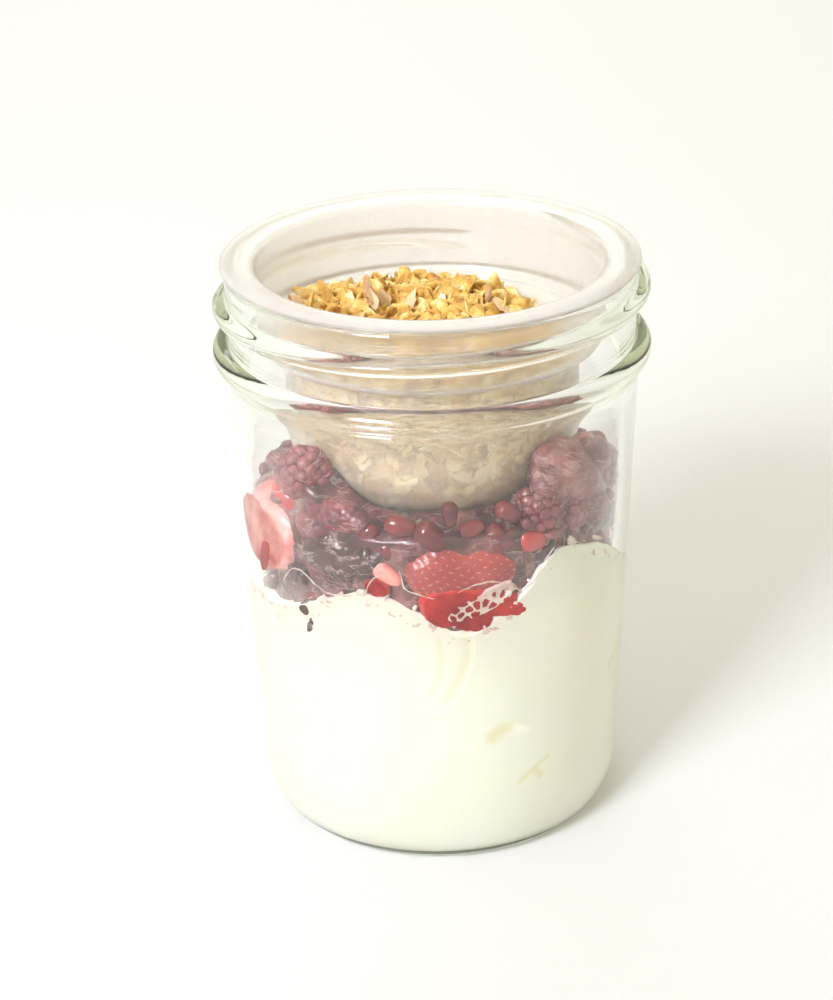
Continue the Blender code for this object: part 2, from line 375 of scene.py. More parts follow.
# The yogurt fills the jar from its floor and swells up round the fruit.
yogurt = {
    "segments": 560,
    "reach": 0.16 * mm,  # how far it goes into the glass
    "level": 52.5 * mm,
    "middle": 59.0 * mm,
    "swells": ((-43.5, 15.6, 27), (-52, 2.8, 6), (-111, 10.0, 24), (-82, -3.0, 9), (70, 8.0, 40),
               (140, 5.0, 25)),
    "unevenness": 0.7 * mm,
    "lowRings": 40 * mm,  # below this height its rings stay level
    "floorRadii": (0, 12 * mm, 24 * mm),
    "rings": (80, 50, 16),  # how many up the level part, up to the edge, and over the top
    "dentNear": (16, 20),  # in degrees and mm: a dent that starts further off isn't looked at
    "colours": ((0.87, 0.855, 0.77), (0.91, 0.9, 0.83)),
    # the colour of the painted shade in its hollows and folds against the glass
    "hollowShadeColour": (0.80, 0.77, 0.56),
}


def yogurtEdge(degrees):
    # height of the yogurt where it meets the glass
    spot = polar(1.0, degrees, 0.0) * 5.0
    ragged = noise.noise(spot) + 0.5 * noise.noise(spot * 2.7)
    return yogurt["level"] + swell(degrees, yogurt["swells"]) + yogurt["unevenness"] * ragged


def yogurtTop(share, degrees):
    return between(yogurt["middle"], yogurtEdge(degrees), share ** 2)


def makeYogurtSkin():
    material, tree, shader = principled("yogurt")
    mottling = grain(tree, 45, detail=5)
    dark, light = yogurt["colours"]
    colour = ramp(tree, mottling, [(0.3, dark), (0.7, light)])
    # painted shade of the hollows and folds, read from the attribute stored on the mesh
    hollowShadeMarks = tree.nodes.new("ShaderNodeAttribute")
    hollowShadeMarks.attribute_name = "hollowShade"
    colour = blended(tree, hollowShadeMarks.outputs["Fac"], colour, yogurt["hollowShadeColour"])
    tree.links.new(colour, shader.inputs["Base Color"])
    setSockets(shader, {"Roughness": 0.32, "Subsurface Weight": 0.25,
                        "Subsurface Radius": (1.0, 0.8, 0.5), "Subsurface Scale": 1.2 * mm})
    bumped(tree, shader, grain(tree, 240, detail=3), 0.05 * mm)
    return material


# hollows and folds against the glass: a path of (degrees, mm), half its width in mm,
# its depth in mm, and how strongly painted shade darkens its colour
yogurtDents = [
    (((-74.0, 29.6), (-71.5, 31.0), (-68.5, 31.2)), 1.7, 0.05, 1.0),
    (((-67.5, 30.6), (-62.5, 29.8)), 1.2, 0.25, 0.0),
    (((-64.5, 17.3), (-60.5, 19.2), (-54.0, 21.6)), 0.6, 0.05, 0.9),
    (((-58.6, 19.4), (-56.4, 17.6)), 0.9, 0.05, 1.0),
    (((-79.9, 54.5), (-80.0, 47.4), (-82.0, 43.6), (-85.3, 39.6), (-91.0, 36.5)), 0.35, 0.25, 0.0),
    (((-81.9, 54.5), (-82.0, 48.4), (-84.0, 44.6), (-87.3, 40.6)), 1.1, 0.0, 0.55),
    (((-90.0, 54.0), (-89.2, 49.6), (-90.2, 44.6), (-92.3, 41.8)), 0.7, 0.0, 0.45),
    (((-22.0, 34.0), (-15.0, 36.5)), 1.2, 0.05, 0.6),
    (((14.0, 22.0), (19.0, 26.5), (24.0, 27.0)), 0.9, 0.05, 0.9),
    (((62.0, 41.0), (70.0, 38.0)), 1.4, 0.3, 0.7),
    (((118.0, 28.0), (124.0, 31.0), (131.0, 30.0)), 1.2, 0.05, 0.9),
    (((165.0, 18.0), (172.0, 20.5)), 1.0, 0.3, 0.5), (((-168.0, 36.0), (-163.0, 33.0)), 1.3, 0.05, 0.9),
]


def yogurtDent(degrees, height):
    # (how far it is sunk, how much painted shade darkens its colour)
    sunk, hollowShade = 0.0, 0.0
    nearTurn, nearHeight = yogurt["dentNear"]
    for path, halfWidth, depth, deep in yogurtDents:
        startTurn, startHeight = path[0]
        if abs(turnBetween(degrees, startTurn)) > nearTurn or abs(height / mm - startHeight) > nearHeight:
            continue
        ragged = 0.35 * noise.noise(Vector((arcLength(degrees), height / mm, startTurn)) * 0.9)
        share = 1.25 - (pathDistance(degrees, height, path) / halfWidth + ragged)
        if share > 0:
            sunk = max(sunk, depth * mm * min(1.0, share) ** 0.7)
            hollowShade = max(hollowShade, deep * min(1.0, share))
    return sunk, hollowShade


def yogurtRings():
    (across, tall), low, reach = jar["insideCorner"], yogurt["lowRings"], yogurt["reach"]
    corner, floor = jar["base"] + tall, jar["base"] - reach

    def wall(height):
        return lambda degrees: (glassInside(degrees, height) + reach - yogurtDent(degrees, height)[0], height)

    def stretched(share):
        def ring(degrees):
            height = between(low, yogurtEdge(degrees), share)
            return glassInside(degrees, height) + reach - yogurtDent(degrees, height)[0], height
        return ring

    def top(share):
        def ring(degrees):
            spot = polar(share, degrees, 0) * 5
            height = yogurtTop(share, degrees) + 0.8 * mm * noise.noise(spot) * (1 - share)
            return share * (innerRadius(yogurtEdge(degrees)) + reach), height
        return ring

    cornerMiddle = (innerRadius(corner) - across, corner)
    levelRings, edgeRings, topRings = yogurt["rings"]
    rings = [level(radius, floor) for radius in yogurt["floorRadii"]]
    rings += [level(*point) for point in arc(cornerMiddle, (across + reach, tall + reach), -90, -5, 16)]
    rings += [wall(between(corner, low, step / levelRings)) for step in range(levelRings)]
    rings += [stretched(step / edgeRings) for step in range(edgeRings + 1)]
    rings += [top(1 - step / topRings) for step in range(1, topRings + 1)]
    return rings


def makeYogurt(material):
    shape = sleeve(yogurtRings(), yogurt["segments"])
    # how much painted shade each spot near the glass gets
    hollowShade = shape.verts.layers.float.new("hollowShade")
    for vert in shape.verts:
        if radiusOf(vert.co) > 30 * mm:  # what is further in can't be seen
            vert[hollowShade] = yogurtDent(degreesOf(vert.co), vert.co.z)[1]
    return finished("yogurt_fill", shape, [material], ["yogurt"])


# The snack cup is thin, faintly milky plastic, with a flange on the rim and a deep, round-bottomed well.
cup = {
    "segments": 200,
    "wall": 0.7 * mm,
    "flange": (34.9 * mm, 42.0 * mm),
    "bend": 1.0 * mm,  # under the flange, where it turns down into the wall
    "top": (34.8 * mm, 103.6 * mm),  # radius of the wide part, and the height of the middle of its step
    "stepRounding": 2.8 * mm,
    "well": (30.0 * mm, 29.4 * mm, 84.5 * mm),  # radius at its top and lower down, and its bottom's top
    "floor": 16.0 * mm,
    "floorSteps": 5,
    "colour": (0.935, 0.915, 0.885),
    "clearness": 0.84,
}
cupLow, cupHigh = cupBox[0].z, cupBox[1].z


def cupOutside():
    wellTop, wellLow, lowHeight = cup["well"]
    topRadius, stepHeight = cup["top"]
    middle = between(wellTop, topRadius, 0.5)
    rounding = (middle - wellTop, cup["stepRounding"])
    corner = (wellLow - cup["floor"], lowHeight - cupLow)
    points = [(0, cupLow)] + straight((0, cupLow), (cup["floor"], cupLow), cup["floorSteps"])
    points += arc((cup["floor"], lowHeight), corner, -90, 0, 20)[1:]
    points += straight(points[-1], (wellTop, stepHeight - cup["stepRounding"]), 10)
    points += arc((middle, stepHeight - cup["stepRounding"]), rounding, 180, 90, 8)[1:]
    points += arc((middle, stepHeight + cup["stepRounding"]), rounding, -90, 0, 8)[1:]
    points += straight(points[-1], (cup["flange"][0] + cup["wall"], cupHigh - cup["wall"] - cup["bend"]), 6)
    return points


def offsetInside(points, wall):
    inside = [(0, points[0][1] + wall)]
    for before, point, after in zip(points, points[1:], points[2:] + [points[-1]]):
        along = (after[0] - before[0], after[1] - before[1])
        length = math.hypot(*along)
        inside.append((point[0] - wall * along[1] / length, point[1] + wall * along[0] / length))
    return inside


cupSide = cupOutside()[cup["floorSteps"]:]  # from the floor's edge up
cupSideHeights = [height for radius, height in cupSide]


def cupOuterRadius(height):
    above = bisect_right(cupSideHeights, height)
    if above == 0:
        return 0.0
    if above == len(cupSide):
        return cupSide[-1][0]
    (lowRadius, low), (highRadius, high) = cupSide[above - 1], cupSide[above]
    return between(lowRadius, highRadius, (height - low) / (high - low))


def wellRadius(height):
    # the inside of the well
    return max(0.0, cupOuterRadius(height - 0.2 * mm) - cup["wall"])


def makeMilkyPlastic():
    material, tree, shader = principled("cup_plastic")
    setSockets(shader, {"Base Color": (*cup["colour"], 1), "Roughness": 0.22, "IOR": 1.45,
                        "Transmission Weight": cup["clearness"]})
    bumped(tree, shader, grain(tree, 90, detail=2), 0.04 * mm)
    return material


def makeCup(material):
    outside = cupOutside()
    inside = offsetInside(outside, cup["wall"])
    under, over = cupHigh - cup["wall"], cupHigh
    innerEdge, outerEdge = cup["flange"]
    half, bend = cup["wall"] / 2, cup["bend"]
    overBend = bend + cup["wall"]
    bendUnder = arc((innerEdge + overBend, under - bend), (bend, bend), 180, 90, 5)[1:]
    bendOver = arc((innerEdge + overBend, over - overBend), (overBend, overBend), 180, 90, 7)
    edge = arc((outerEdge - half, between(under, over, 0.5)), (half, half), 90, -90, 6)
    profile = inside[:-1] + bendOver + edge + bendUnder[::-1] + outside[::-1]
    return finished("snack_cup", spun(profile, cup["segments"]), [material], ["granola_cup"])


# The fruit is thawed berries, strawberry pieces and pomegranate arils in their own juice.
# Some of it is pressed to the glass.
heap = {
    "level": 75.0 * mm,
    "swells": ((-88, 3.5, 30), (-35, 12.0, 20), (-134, 11.0, 15), (-8, 4.0, 16)),
    "pulpDepth": 1.5 * mm,  # how far behind the glass the pulp between the fruit starts
    "pulpBelow": (1.0 * mm, 3.5 * mm),  # how far it ends below the heap's top, at the cup and at the glass
    "pulpSegments": 180,
    "pulpRings": (14, 20, 8, 18),  # how many under it, up its side, over its top, and down beside the cup
    "sideLumps": (1.1 * mm, 5 * mm),  # their height and their length
    "topLumps": (1.2 * mm, 4 * mm),
    "wetGap": -0.2 * mm,  # fruit that wets the glass reaches this far into it
    "dryGap": 0.15 * mm,  # the rest stays this far off it
    "drupelets": 520,  # loose ones
    "drupeletSize": (0.8, 1.6),  # in mm
    "cupGap": 0.25 * mm,
}


def heapTop(degrees):
    return heap["level"] + swell(degrees, heap["swells"])


def pulpRings():
    belowAtCup, belowAtGlass = heap["pulpBelow"]

    def bottom(share):
        def ring(degrees):
            edge = innerRadius(yogurtEdge(degrees)) - heap["pulpDepth"]
            return share * edge, yogurtTop(share, degrees) - 1.0 * mm
        return ring

    def side(share):
        def ring(degrees):
            height = between(yogurtEdge(degrees) - 1.0 * mm, heapTop(degrees) - belowAtGlass, share)
            lumpHeight, lumpLength = heap["sideLumps"]
            lump = noise.noise(polar(40 * mm, degrees, height) / lumpLength)
            return innerRadius(height) - heap["pulpDepth"] + lumpHeight * lump, height
        return ring

    def top(share):
        def ring(degrees):
            height = heapTop(degrees) - between(belowAtCup, belowAtGlass, share)
            lumpHeight, lumpLength = heap["topLumps"]
            lump = noise.noise(polar(share * 40 * mm, degrees, 0) / lumpLength)
            nearCup = cupOuterRadius(height) + heap["cupGap"]
            nearGlass = innerRadius(height) - heap["pulpDepth"]
            return between(nearCup, nearGlass, share), height + lumpHeight * lump * share
        return ring

    def besideCup(share):
        def ring(degrees):
            height = between(heapTop(degrees) - belowAtCup, cupLow + 0.6 * mm, 1 - (1 - share) ** 1.6)
            return cupOuterRadius(height) + heap["cupGap"], height - 0.2 * mm
        return ring

    under, upSide, over, downCup = heap["pulpRings"]
    rings = [bottom(step / under) for step in range(under)]
    rings += [side(step / upSide) for step in range(upSide)]
    rings += [top(1 - step / over) for step in range(over)]
    rings += [besideCup(step / downCup) for step in range(downCup + 1)]
    return rings + [level(6 * mm, cupLow - heap["cupGap"]), level(0, cupLow - heap["cupGap"])]


# every skin starts from the plain one: relief is in mm, film is how much yogurt clings to it,
# and streaks is how pale the painted sheen along its folds is
plainSkin = {"roughness": 0.22, "soft": 0.25, "scale": 160, "relief": 0.08, "film": 0.3, "streaks": 0.0,
             "coat": 0.5}
juicySkin = {"roughness": 0.06, "soft": 0.7, "relief": 0.02, "film": 0}
fruitSkins = {
    "fruit_pulp": {"dark": (0.035, 0.008, 0.01), "light": (0.19, 0.04, 0.046), "roughness": 0.3,
                   "scale": 190, "relief": 0.35, "film": 0.35, "streaks": 0.3},
    "raspberry": {"dark": (0.16, 0.022, 0.034), "light": (0.30, 0.065, 0.078), "roughness": 0.25,
                  "soft": 0.4},
    "raspberry_hair": {"dark": (0.40, 0.24, 0.22), "light": (0.60, 0.42, 0.38), "roughness": 0.5,
                       "soft": 0.0, "film": 0},
    "strawberry": {"dark": (0.28, 0.014, 0.02), "light": (0.42, 0.05, 0.05), "roughness": 0.28,
                   "soft": 0.35, "film": 0.22},
    "strawberry_seed": {"dark": (0.46, 0.16, 0.11), "light": (0.60, 0.30, 0.21), "roughness": 0.35,
                        "soft": 0.0, "film": 0},
    "pale_fruit": {"dark": (0.52, 0.08, 0.08), "light": (0.86, 0.47, 0.42), "scale": 150, "soft": 0.4,
                   "coat": 0},
    "dusky_fruit": {"dark": (0.09, 0.012, 0.02), "light": (0.27, 0.06, 0.072), "roughness": 0.36,
                    "scale": 210, "relief": 0.16, "film": 0.4, "streaks": 0.35, "coat": 0.2},
    "dark_berry": {"dark": (0.035, 0.009, 0.011), "light": (0.09, 0.026, 0.028), "roughness": 0.3,
                   "scale": 110, "film": 0.16, "streaks": 0.5},
    "wet_fruit": {"dark": (0.30, 0.006, 0.012), "light": (0.76, 0.05, 0.05), "roughness": 0.15, "soft": 0.4,
                  "scale": 130, "film": 0, "coat": 0},
    "dim_aril": {"dark": (0.09, 0.008, 0.014), "light": (0.24, 0.026, 0.036), **juicySkin},
    "red_aril": {"dark": (0.34, 0.015, 0.03), "light": (0.54, 0.07, 0.075), **juicySkin},
    "pale_aril": {"dark": (0.62, 0.10, 0.10), "light": (0.88, 0.40, 0.36), **juicySkin},
    "loose_drupelet": {"dark": (0.08, 0.012, 0.02), "light": (0.24, 0.05, 0.055), "roughness": 0.15,
                       "soft": 0.4, "film": 0.25},
}
filmColour = (0.62, 0.40, 0.37)
# the colour of the sheen painted as streaks on folded skins
foldSheenColour = (0.6, 0.48, 0.46)


def makeFruitSkin(name):
    # mottled flesh with a patchy film of yogurt on it, and pale streaks painted on as the sheen of a folded
    # skin
    look = {**plainSkin, **fruitSkins[name]}
    material, tree, shader = principled(name)
    colour = ramp(tree, grain(tree, look["scale"], detail=5), [(0.34, look["dark"]), (0.68, look["light"])])
    if look["film"]:
        pattern = grain(tree, 95, detail=8, roughness=0.65)
        patches = ramp(tree, pattern, [(0.5, (0, 0, 0)), (0.7, (look["film"],) * 3)])
        colour = blended(tree, patches, colour, filmColour)
    if look["streaks"]:
        # painted sheen: thin pale bands where the stretched pattern crosses its middle
        sheenLines = [(0.478, (0, 0, 0)), (0.5, (look["streaks"],) * 3), (0.522, (0, 0, 0))]
        pattern = grain(tree, 110, detail=3, stretch=(1, 1, 2.6), distortion=0.6)
        colour = blended(tree, ramp(tree, pattern, sheenLines), colour, foldSheenColour)
    tree.links.new(colour, shader.inputs["Base Color"])
    setSockets(shader, {"Roughness": look["roughness"], "Coat Weight": look["coat"], "Coat Roughness": 0.06,
                        "Subsurface Weight": look["soft"], "Subsurface Radius": (1.0, 0.25, 0.2),
                        "Subsurface Scale": 1.0 * mm})
    bumped(tree, shader, grain(tree, look["scale"] * 3, detail=3), look["relief"] * mm)
    return material


def setDown(degrees, height, depth, lean=0.0, tip=0.0, spin=0.0):
    # the place of a fruit at an angle and height, its middle at a depth behind the glass, in degrees and mm
    height, depth = height * mm, depth * mm
    turn = Matrix.Rotation(math.radians(degrees), 4, "Z") @ Matrix.Rotation(math.radians(tip), 4, "Y")
    turn = turn @ Matrix.Rotation(math.radians(lean), 4, "X") @ Matrix.Rotation(math.radians(spin), 4, "Z")
    return Matrix.Translation(polar(innerRadius(height) - depth, degrees, height)) @ turn


def pressToGlass(shape, gap):
    for vert in shape.verts:
        radius, height = radiusOf(vert.co), vert.co.z
        least = cupOuterRadius(height) + heap["cupGap"] if height > cupLow - 0.3 * mm else 0.0
        if radius < least:
            vert.co = polar(least, degreesOf(vert.co), height)
        elif radius > innerRadius(height) - gap - jar["waviness"]:
            degrees = degreesOf(vert.co)
            vert.co = polar(min(radius, glassInside(degrees, height) - gap), degrees, height)


raspberryForm = {
    "drupelet": 1.45 * mm,
    "coreInside": 1.2 * mm,  # how far the core stays inside the outline
    "ringStep": 1.75 * mm,
    "sizes": (0.82, 1.12),
    "hairsPerArea": 0.7,  # for a square mm of its width by its height
    "hairLength": (0.9, 2.0),  # in mm
    "hairThick": (0.08 * mm, 0.04 * mm),  # its radius at the foot and at the tip
}


def raspberry(chance, width, tall):
    # round drupelets in rings over a blunt cone
    drupelet, inset = raspberryForm["drupelet"], raspberryForm["coreInside"]
    shape, single = bmesh.new(), ball(2)
    core = Matrix.Diagonal((width / 2 - inset, width / 2 - inset, tall / 2 - inset, 1))
    bmesh.ops.create_icosphere(shape, subdivisions=3, radius=1, matrix=core)
    rings = max(4, round(tall / raspberryForm["ringStep"]))
    for ring in range(rings):
        rise = between(-0.9, 0.92, ring / (rings - 1))
        girth = math.sqrt(1 - rise ** 2) * (1 + 0.12 * rise)
        count = max(3, round(math.pi * (width - drupelet) * girth / (1.5 * drupelet)))
        for step in range(count):
            turn = 360 * (step + 0.5 * (ring % 2) + chance.uniform(-0.12, 0.12)) / count
            spot = polar((width / 2 - drupelet * 0.75) * girth, turn, rise * (tall / 2 - drupelet * 0.6))
            size = drupelet * chance.uniform(*raspberryForm["sizes"])
            stamp(shape, single, Matrix.Translation(spot) @ Matrix.Diagonal((size, size, size * 0.92, 1)))
    return shape


def raspberryHairs(chance, width, tall, count):
    # the fine dry styles that stand up from the drupelets
    shape = bmesh.new()
    foot, tip = raspberryForm["hairThick"]
    for _ in range(count):
        turn, rise = chance.uniform(0, 360), chance.uniform(-0.8, 0.95)
        out = math.sqrt(1 - rise ** 2)
        spot = polar(width / 2 * out, turn, rise * tall / 2)
        way = polar(out, turn + chance.uniform(-25, 25), rise + chance.uniform(0.1, 0.9)).normalized()
        length = drawn(chance, raspberryForm["hairLength"])
        place = Matrix.Translation(spot + way * length / 2) @ way.to_track_quat("Z", "Y").to_matrix().to_4x4()
        bmesh.ops.create_cone(shape, segments=4, radius1=foot, radius2=tip, depth=length,
                              cap_ends=True, matrix=place)
    return shape


strawberryPits = {
    "depth": 0.22 * mm,
    "width": 0.6 * mm,
    "seedsPerArea": 1.1,  # for a square mm of its width by its height
    "seedSunk": 0.1,  # in mm
    "seedWide": 0.14 * mm,  # half its width, half its length between two limits in mm, and half its thickness
    "seedLong": (0.3, 0.6),
    "seedThick": 0.17 * mm,
}


def strawberryForm(direction, width, tall):
    # a blunt cone, widest near its shoulder
    rise = direction.z
    girth = width / 2 * (1 + 0.22 * rise - 0.25 * max(0.0, rise - 0.6))
    return Vector((direction.x * girth, direction.y * girth, rise * tall / 2))


def seedDirections(count):
    # seeds sit on a spiral, evenly spread
    directions = []
    for step in range(count):
        rise = 1 - 2 * (step + 0.5) / count
        directions.append(polar(math.sqrt(1 - rise ** 2), step * 137.508, rise))
    return directions


def strawberry(width, tall, seeds, offset):
    shape = bmesh.new()
    bmesh.ops.create_icosphere(shape, subdivisions=6, radius=1)
    pitDepth, pitWidth = strawberryPits["depth"], strawberryPits["width"]
    pits = KDTree(len(seeds))
    for index, direction in enumerate(seeds):
        pits.insert(strawberryForm(direction, width, tall), index)
    pits.balance()
    for vert in shape.verts:
        direction = vert.co.normalized()
        spot = strawberryForm(direction, width, tall)
        dent = pitDepth * math.exp(-((pits.find(spot)[2] / pitWidth) ** 2))
        wander = 0.5 * noise.noise(spot / (7 * mm) + offset) + 0.15 * noise.noise(spot / (2 * mm) + offset)
        vert.co = spot + direction * (wander * mm - dent)
    return shape


def strawberrySeeds(chance, width, tall, seeds):
    shape, single = bmesh.new(), ball(2)
    wide, thick = strawberryPits["seedWide"], strawberryPits["seedThick"]
    for direction in seeds:
        spot = strawberryForm(direction, width, tall) - direction * strawberryPits["seedSunk"] * mm
        place = Matrix.Translation(spot) @ direction.to_track_quat("Z", "Y").to_matrix().to_4x4()
        turn = Matrix.Rotation(chance.gauss(0, 0.5), 4, "Z")
        size = Matrix.Diagonal((wide, drawn(chance, strawberryPits["seedLong"]), thick, 1))
        stamp(shape, single, place @ turn @ size)
    return shape


def wrinkledBerry(width, tall, offset, wrinkle):
    # a thawed berry whose skin has sunk into folds
    shape = bmesh.new()
    bmesh.ops.create_icosphere(shape, subdivisions=6 if wrinkle > 0.5 else 5, radius=1)
    for vert in shape.verts:
        direction = vert.co.normalized()
        spot = Vector((direction.x * width / 2, direction.y * width / 2, direction.z * tall / 2))
        fold = abs(noise.noise(Vector((spot.x, spot.y, spot.z * 2.2)) / (4.5 * mm) + offset))
        swollen = 0.8 * noise.noise(spot / (8 * mm) + offset)
        vert.co = spot + direction * mm * (swollen - wrinkle * (1 - fold) ** 6)
    return shape


def aril(chance, length):
    # a juicy seed, longer than wide, with soft corners
    shape = bmesh.new()
    offset = Vector((chance.uniform(0, 9), chance.uniform(0, 9), 0))
    bmesh.ops.create_icosphere(shape, subdivisions=3, radius=1)
    for vert in shape.verts:
        direction = vert.co.normalized()
        squared = 1 / max(abs(direction.x), abs(direction.y), abs(direction.z)) ** 0.35
        taper = 1 + 0.18 * direction.z
        size = length / 2 * (1 + 0.1 * noise.noise(direction * 1.5 + offset)) * squared * 0.92
        vert.co = Vector((direction.x * 0.68 * taper, direction.y * 0.62 * taper, direction.z)) * size
    return shape


# (angle, height, width, tall, depth, lean, tip) in degrees and mm;
# the first ones are those that the front shows
raspberries = [
    (-138, 83.2, 10.8, 12, 5.3, 20, 25), (-55, 77.2, 9, 9, 4.1, 0, -40), (-43.5, 74.4, 8.5, 8.5, 3.9, 60, 0),
    (-13, 76, 12, 13, 6.2, 30, 20), (20, 69.5, 14, 14, 6.8, 30, 30), (60, 69, 14, 12, 6.6, 0, 20),
    (88, 68.5, 14, 13, 6.8, 90, 0), (130, 66.5, 14, 13, 6.8, 10, 30), (158, 64, 13, 13, 6.6, 60, 0),
    (-168, 63, 12, 12, 6.0, 0, 40),
]
strawberries = [
    (-80, 67.2, 15, 28, 7.3, 87, 0), (42, 69, 13, 21, 6.4, 84, 0), (110, 67, 13, 20, 6.4, 96, 0),
    (178, 65.5, 13, 18, 6.4, 80, 0), (1, 69.5, 13, 17, 6.4, 30, 0),
]
paleFruit = [
    (-153.5, 68.6, 22, 21, 7.5, 8, 0), (76, 71.5, 8, 11, 4.0, 80, 0), (145, 69.5, 9, 10, 4.4, 60, 0),
    (-4, 74, 8, 9, 4.0, 0, 0),
]
duskyFruit = [
    (-40, 82.0, 14, 17, 6.6, 50, 0), (-28, 83.2, 9, 11, 4.8, 50, 0), (-131, 74.0, 8, 10, 3.9, 75, 0),
    (-122, 77.6, 7, 14, 3.6, 84, 0), (-30, 73, 12, 13, 6.0, 20, 0), (-51, 82.2, 7.5, 9.5, 4.0, 30, 0),
    (30, 73.5, 8, 12, 3.9, 84, 0), (100, 73, 7, 12, 3.6, 90, 0), (-174, 70, 8, 11, 3.9, 76, 0),
    (168, 71.5, 7, 11, 3.6, 88, 0), (10, 75.5, 7, 9, 3.6, 60, 0), (124, 72, 8, 11, 3.9, 84, 0),
    (52, 73.5, 7, 9, 3.6, 40, 0),
]
darkBerries = [
    (-121, 68.8, 15, 25, 7.0, 88, 0), (-137, 62.4, 5, 8, 2.2, 80, 0), (-56, 69, 10, 8, 5.4, 0, 0),
    (-19, 69.5, 9, 9, 5.0, 0, 0), (74, 65, 12, 11, 6.0, 0, 0), (146, 62, 10, 9, 5.0, 0, 0),
    (22, 62, 11, 9, 5.4, 0, 0),
]
wetFruit = [
    (-87.5, 60.2, 9.5, 10.5, 2.6, 60, 0), (-75, 60.6, 6.4, 19, 1.9, 69, 0), (-151, 63.6, 4.6, 10, 1, -26, 0),
    (-80.5, 57.2, 4.6, 9.5, 1.2, 84, 0), (-107.2, 64.4, 3.6, 5.2, 0.9, 70, 0), (96, 64, 8, 12, 2.2, 70, 0),
    (52, 67, 6, 9, 2.0, 40, 0), (14, 62, 7, 10, 2.0, 80, 0),
]
darkBits = [
    (-133.4, 55.6, 3.4, 3.6, 0.6, 0, 0), (-131.2, 52.8, 2.2, 5.2, 0.3, -22, 0), (20, 57, 2.2, 3, 0.6, 0, 0),
    (140, 55, 2.6, 2.2, 0.6, 0, 0),
]
# (angle, height, length, depth, lean, tip)
dimArils = [
    (-91.5, 74.8, 8.2, 3.5, 50, 0), (-79, 76.6, 5.6, 3.0, 100, 0), (-71, 73.0, 7.4, 3.6, 10, 0),
    (-101, 77.0, 6.8, 3.7, 80, 0), (-105, 71.6, 4.8, 2.7, 30, 0), (-112.5, 74.6, 6.4, 3.6, 120, 0),
    (-66.5, 78.6, 6.4, 3.6, 60, 0), (-97, 70.4, 4.6, 2.6, 20, 0), (-85.5, 79.6, 5.4, 3.6, 0, 0),
    (-64, 69.0, 7, 3.4, 30, 0), (-47, 68.5, 8, 3.6, 20, 0),
    (5, 73, 8, 3.2, 10, 0), (33, 64, 8, 3.4, 70, 0), (60, 74, 7, 3.0, 90, 0), (84, 73.5, 7, 3.0, 20, 0),
    (120, 62.5, 8, 3.4, 60, 0), (153, 72, 8, 3.0, 90, 0), (170, 68, 8, 3.4, 40, 0),
    (-176, 61, 8, 3.4, 100, 0),
    (10, 61, 8, 3.4, 90, 0), (-34, 66.5, 8, 3.4, 40, 0),
]
redArils = [
    (-58.5, 71.8, 9.5, 3.4, 70, 20), (-121.5, 77.0, 7, 3.0, 82, 0), (-143, 78.5, 8, 3.2, 60, 0),
    (66, 72, 8, 3.0, 50, 0), (112, 60, 7, 2.8, 90, 0),
]
paleArils = [(-104.5, 67.0, 6.8, 2.3, 60, 0), (142, 62, 8, 2.8, 10, 0)]


